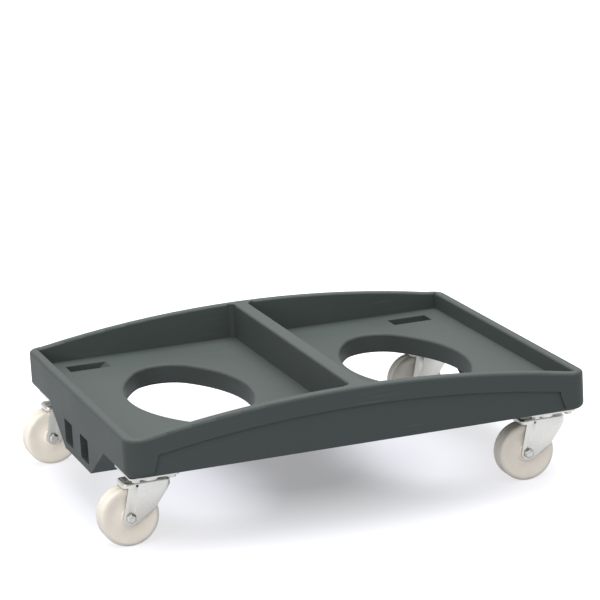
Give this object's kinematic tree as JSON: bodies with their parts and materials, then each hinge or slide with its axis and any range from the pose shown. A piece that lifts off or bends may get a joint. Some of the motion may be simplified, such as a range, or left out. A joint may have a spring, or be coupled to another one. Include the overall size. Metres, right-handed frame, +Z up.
{
  "type": "stacking dolly",
  "caption": "Low moulded plastic dolly with two bays, arched long rims, a central divider, oval floor openings and a white-wheeled swivel castor under each corner.",
  "frame": {"origin": "on the floor below the middle of the overall box, which takes in the trailing wheels", "axes": "+X along the deck's length, away from the side the wheels trail to; +Y from the front long rim to the back one; +Z up"},
  "size_m": [0.8504, 0.66, 0.231],
  "materials": {
    "deck_plastic": "satin moulded",
    "zinc": "bright zinc plated",
    "bolt_steel": "zinc plated",
    "ball_steel": "ground",
    "insert_brass": "turned",
    "wheel_nylon": "satin"
  },
  "bodies": {
    "deck": {"deck": "deck_plastic", "front_left_top_plate": "zinc", "front_left_plate_screws": "bolt_steel", "front_left_thread_inserts": "insert_brass", "front_left_king_pin": "zinc", "front_left_lower_balls": "ball_steel", "front_left_race_cup": "zinc", "front_right_top_plate": "zinc", "front_right_plate_screws": "bolt_steel", "front_right_thread_inserts": "insert_brass", "front_right_king_pin": "zinc", "front_right_lower_balls": "ball_steel", "front_right_race_cup": "zinc", "back_left_top_plate": "zinc", "back_left_plate_screws": "bolt_steel", "back_left_thread_inserts": "insert_brass", "back_left_king_pin": "zinc", "back_left_lower_balls": "ball_steel", "back_left_race_cup": "zinc", "back_right_top_plate": "zinc", "back_right_plate_screws": "bolt_steel", "back_right_thread_inserts": "insert_brass", "back_right_king_pin": "zinc", "back_right_lower_balls": "ball_steel", "back_right_race_cup": "zinc"},
    "front_left_swivel": {"front_left_fork": "zinc", "front_left_upper_balls": "ball_steel", "front_left_axle_sleeve": "ball_steel", "front_left_axle_bolt": "bolt_steel", "front_left_axle_nut": "bolt_steel"},
    "front_left_roller": {"front_left_wheel": "wheel_nylon"},
    "front_right_swivel": {"front_right_fork": "zinc", "front_right_upper_balls": "ball_steel", "front_right_axle_sleeve": "ball_steel", "front_right_axle_bolt": "bolt_steel", "front_right_axle_nut": "bolt_steel"},
    "front_right_roller": {"front_right_wheel": "wheel_nylon"},
    "back_left_swivel": {"back_left_fork": "zinc", "back_left_upper_balls": "ball_steel", "back_left_axle_sleeve": "ball_steel", "back_left_axle_bolt": "bolt_steel", "back_left_axle_nut": "bolt_steel"},
    "back_left_roller": {"back_left_wheel": "wheel_nylon"},
    "back_right_swivel": {"back_right_fork": "zinc", "back_right_upper_balls": "ball_steel", "back_right_axle_sleeve": "ball_steel", "back_right_axle_bolt": "bolt_steel", "back_right_axle_nut": "bolt_steel"},
    "back_right_roller": {"back_right_wheel": "wheel_nylon"}
  },
  "joints": [
    {"name": "front_left_swivel_turn", "type": "hinge", "parent": "deck", "child": "front_left_swivel", "pos_m": [-0.33725, -0.252, 0.11], "axis": [0, 0, 1], "continuous": true},
    {"name": "front_left_wheel_roll", "type": "hinge", "parent": "front_left_swivel", "child": "front_left_roller", "pos_m": [-0.37525, -0.252, 0.05], "axis": [0, 1, 0], "continuous": true},
    {"name": "front_right_swivel_turn", "type": "hinge", "parent": "deck", "child": "front_right_swivel", "pos_m": [0.37275, -0.252, 0.11], "axis": [0, 0, 1], "continuous": true},
    {"name": "front_right_wheel_roll", "type": "hinge", "parent": "front_right_swivel", "child": "front_right_roller", "pos_m": [0.33475, -0.252, 0.05], "axis": [0, 1, 0], "continuous": true},
    {"name": "back_left_swivel_turn", "type": "hinge", "parent": "deck", "child": "back_left_swivel", "pos_m": [-0.33725, 0.252, 0.11], "axis": [0, 0, 1], "continuous": true},
    {"name": "back_left_wheel_roll", "type": "hinge", "parent": "back_left_swivel", "child": "back_left_roller", "pos_m": [-0.37525, 0.252, 0.05], "axis": [0, 1, 0], "continuous": true},
    {"name": "back_right_swivel_turn", "type": "hinge", "parent": "deck", "child": "back_right_swivel", "pos_m": [0.37275, 0.252, 0.11], "axis": [0, 0, 1], "continuous": true},
    {"name": "back_right_wheel_roll", "type": "hinge", "parent": "back_right_swivel", "child": "back_right_roller", "pos_m": [0.33475, 0.252, 0.05], "axis": [0, 1, 0], "continuous": true}
  ]
}
